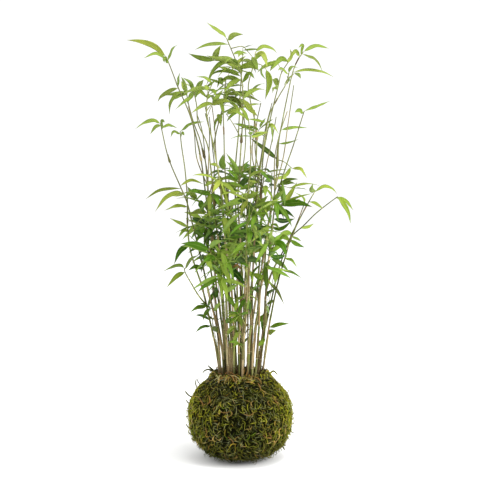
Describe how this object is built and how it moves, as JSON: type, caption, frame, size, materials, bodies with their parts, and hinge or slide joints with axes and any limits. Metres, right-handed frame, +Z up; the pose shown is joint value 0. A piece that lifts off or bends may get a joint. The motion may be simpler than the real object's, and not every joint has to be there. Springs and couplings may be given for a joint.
{
  "type": "kokedama moss ball plant",
  "caption": "Round ball of soil and roots wrapped in living moss, pressed flat below, with a tall clump of thin leafy bamboo stems growing out of its top.",
  "frame": {"origin": "middle of the flat spot on the underside of the ball, where it rests", "axes": "+Z up along the plant, -Y towards the side that the picture shows, +X to the right of that view"},
  "size_m": [0.3323, 0.2717, 0.6347],
  "materials": {
    "moss": "rough, matt living moss",
    "soil": "rough, damp dark soil with fine roots",
    "bamboo": "satin green leaves and canes"
  },
  "bodies": {
    "root": {"moss_cover": "moss", "root_ball": "soil", "bamboo_stem_01": "bamboo", "bamboo_stem_02": "bamboo", "bamboo_stem_03": "bamboo", "bamboo_stem_04": "bamboo", "bamboo_stem_05": "bamboo", "bamboo_stem_06": "bamboo", "bamboo_stem_07": "bamboo", "bamboo_stem_08": "bamboo", "bamboo_stem_09": "bamboo", "bamboo_stem_10": "bamboo", "bamboo_stem_11": "bamboo", "bamboo_stem_12": "bamboo", "bamboo_stem_13": "bamboo", "bamboo_stem_14": "bamboo", "bamboo_stem_15": "bamboo", "bamboo_stem_16": "bamboo", "bamboo_stem_17": "bamboo", "bamboo_stem_18": "bamboo", "bamboo_stem_19": "bamboo", "bamboo_stem_20": "bamboo", "bamboo_stem_21": "bamboo", "bamboo_stem_22": "bamboo", "bamboo_stem_23": "bamboo", "bamboo_stem_24": "bamboo", "bamboo_stem_25": "bamboo", "bamboo_stem_26": "bamboo"}
  },
  "joints": []
}
